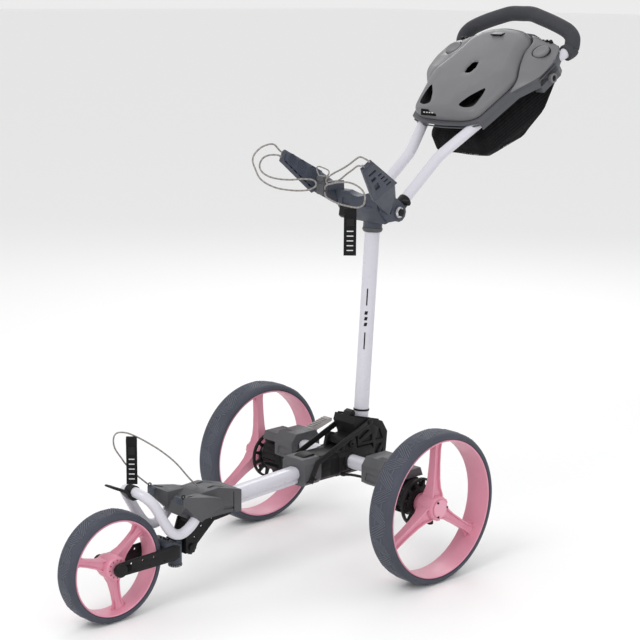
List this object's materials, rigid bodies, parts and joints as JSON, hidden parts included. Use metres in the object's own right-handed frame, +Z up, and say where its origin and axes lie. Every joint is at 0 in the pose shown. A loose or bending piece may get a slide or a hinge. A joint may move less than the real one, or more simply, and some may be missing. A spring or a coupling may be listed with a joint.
{
  "type": "golf push trolley",
  "caption": "Folding three-wheeled golf push trolley with a padded bag cradle, lower bag rest, lidded console, net pouch and foot brake.",
  "frame": {"origin": "on the floor, under the middle of the whole trolley", "axes": "+Z up, the front wheel points to -Y, +X is the trolley's right side (seen from behind, where the user walks, the right hand)"},
  "size_m": [0.552, 1.2015, 1.0757],
  "materials": {
    "white_tube": "aluminium tube in satin white powder coat with a faint lavender cast",
    "grey_casting": "dark grey glass-filled nylon",
    "slate_casting": "slate grey glass-filled nylon",
    "black_plastic": "black moulded nylon",
    "console_plastic": "satin mid grey moulded plastic",
    "tyre": "slate grey soft tyre rubber",
    "pink_plastic": "satin pink moulded plastic",
    "grip_foam": "closed-cell grip foam",
    "pad_rubber": "moulded soft rubber",
    "strap": "black rubber",
    "net": "black net fabric",
    "cord": "woven sleeve over elastic cord",
    "tab_webbing": "black woven webbing",
    "pedal_plastic": "warm light grey plastic",
    "steel": "bright zinc plated steel"
  },
  "bodies": {
    "frame": {"main_tube": "white_tube", "front_casting": "grey_casting", "bag_rest_loop": "white_tube", "bag_rest_clip": "black_plastic", "fork_bracket": "black_plastic", "front_sleeve": "black_plastic", "main_block": "black_plastic", "axle_tube": "white_tube", "wheel_axle_right": "steel", "wheel_axle_left": "steel", "wheel_bracket_right": "grey_casting", "wheel_bracket_left": "grey_casting", "brake_housing_right": "black_plastic", "brake_housing_left": "black_plastic", "mast_strap_right": "strap", "mast_strap_left": "strap", "fork_bolt": "steel", "mast_bolt": "steel", "brake_cable": "strap", "front_cord": "cord", "front_pull_tab": "tab_webbing"},
    "brake_pedal": {"brake_pedal": "pedal_plastic"},
    "brake_pin_right": {"brake_pin_right": "steel"},
    "brake_pin_left": {"brake_pin_left": "steel"},
    "fork_knuckle": {"fork_knuckle": "black_plastic"},
    "fork": {"yoke": "slate_casting", "fork_arm_right": "black_plastic", "fork_arm_left": "black_plastic", "front_axle": "black_plastic"},
    "tracking_dial": {"tracking_dial": "black_plastic"},
    "front_wheel": {"front_tyre": "tyre", "front_rim": "pink_plastic"},
    "right_wheel": {"right_wheel_tyre": "tyre", "right_wheel_rim": "pink_plastic", "right_wheel_hub_cap": "pink_plastic", "right_wheel_brake_star": "black_plastic"},
    "left_wheel": {"left_wheel_tyre": "tyre", "left_wheel_rim": "pink_plastic", "left_wheel_hub_cap": "pink_plastic", "left_wheel_brake_star": "black_plastic"},
    "mast": {"mast_tube": "white_tube", "mast_foot": "black_plastic", "upper_bracket": "slate_casting", "cradle_pad_right": "pad_rubber", "cradle_pad_left": "pad_rubber", "strap_pin": "steel", "handle_bolt": "steel", "cord_hook": "grey_casting", "far_cord": "cord", "near_cord": "cord", "tab_cord": "cord", "upper_pull_tab": "tab_webbing"},
    "handle": {"handle_tube": "white_tube", "handle_grip": "grip_foam", "handle_knuckle": "black_plastic", "console_base": "console_plastic", "net_bag": "net"},
    "console_lid": {"console_lid": "console_plastic"},
    "accessory_cap_right": {"accessory_cap_right": "console_plastic"},
    "accessory_cap_left": {"accessory_cap_left": "console_plastic"}
  },
  "joints": [
    {"name": "right_wheel_spin", "type": "hinge", "parent": "frame", "child": "right_wheel", "pos_m": [0.248, 0.07, 0.1475], "axis": [1, 0, 0], "continuous": true},
    {"name": "left_wheel_spin", "type": "hinge", "parent": "frame", "child": "left_wheel", "pos_m": [-0.248, 0.07, 0.1475], "axis": [1, 0, 0], "continuous": true},
    {"name": "fork_fold", "type": "hinge", "parent": "frame", "child": "fork_knuckle", "pos_m": [0, -0.33, 0.1], "axis": [1, 0, 0], "range_deg": [0, 150]},
    {"name": "fork_tracking", "type": "hinge", "parent": "fork_knuckle", "child": "fork", "pos_m": [0, -0.354, 0.09], "axis": [0, 0, 1], "range_deg": [-3, 3]},
    {"name": "tracking_dial_turn", "type": "hinge", "parent": "fork_knuckle", "child": "tracking_dial", "pos_m": [0, -0.354, 0.068], "axis": [0, 0, 1], "range_deg": [-45, 45]},
    {"name": "front_wheel_spin", "type": "hinge", "parent": "fork", "child": "front_wheel", "pos_m": [0, -0.5, 0.101], "axis": [1, 0, 0], "continuous": true},
    {"name": "mast_fold", "type": "hinge", "parent": "frame", "child": "mast", "pos_m": [0, 0.066, 0.2245], "axis": [1, 0, 0], "range_deg": [0, 84], "deforming": ["mast_strap_right", "mast_strap_left", "front_cord", "front_pull_tab"]},
    {"name": "handle_fold", "type": "hinge", "parent": "mast", "child": "handle", "pos_m": [0, 0.1605, 0.6815], "axis": [1, 0, 0], "range_deg": [-118, 10], "deforming": ["net_bag"]},
    {"name": "console_lid_hinge", "type": "hinge", "parent": "handle", "child": "console_lid", "pos_m": [0, 0.34319, 0.84503], "axis": [1, 0, 0], "range_deg": [0, 95]},
    {"name": "cap_right_turn", "type": "hinge", "parent": "handle", "child": "accessory_cap_right", "pos_m": [0.119, 0.51027, 0.98033], "axis": [0, -0.6293, 0.7771], "range_deg": [0, 60]},
    {"name": "cap_left_turn", "type": "hinge", "parent": "handle", "child": "accessory_cap_left", "pos_m": [-0.119, 0.51027, 0.98033], "axis": [0, -0.6293, 0.7771], "range_deg": [-60, 0]},
    {"name": "brake_pedal_press", "type": "hinge", "parent": "frame", "child": "brake_pedal", "pos_m": [-0.15, 0.1105, 0.2035], "axis": [1, 0, 0], "range_deg": [-25, 0]},
    {"name": "brake_pin_right_slide", "type": "slide", "parent": "frame", "child": "brake_pin_right", "axis": [1, 0, 0], "range_m": [0, 0.008]},
    {"name": "brake_pin_left_slide", "type": "slide", "parent": "frame", "child": "brake_pin_left", "axis": [-1, 0, 0], "range_m": [0, 0.008]}
  ],
  "couplings": [
    {"joint": "tracking_dial_turn", "follows": "fork_tracking", "ratio": 15},
    {"joint": "brake_pin_right_slide", "follows": "brake_pedal_press", "m_per_rad": -0.016},
    {"joint": "brake_pin_left_slide", "follows": "brake_pedal_press", "m_per_rad": -0.016}
  ]
}
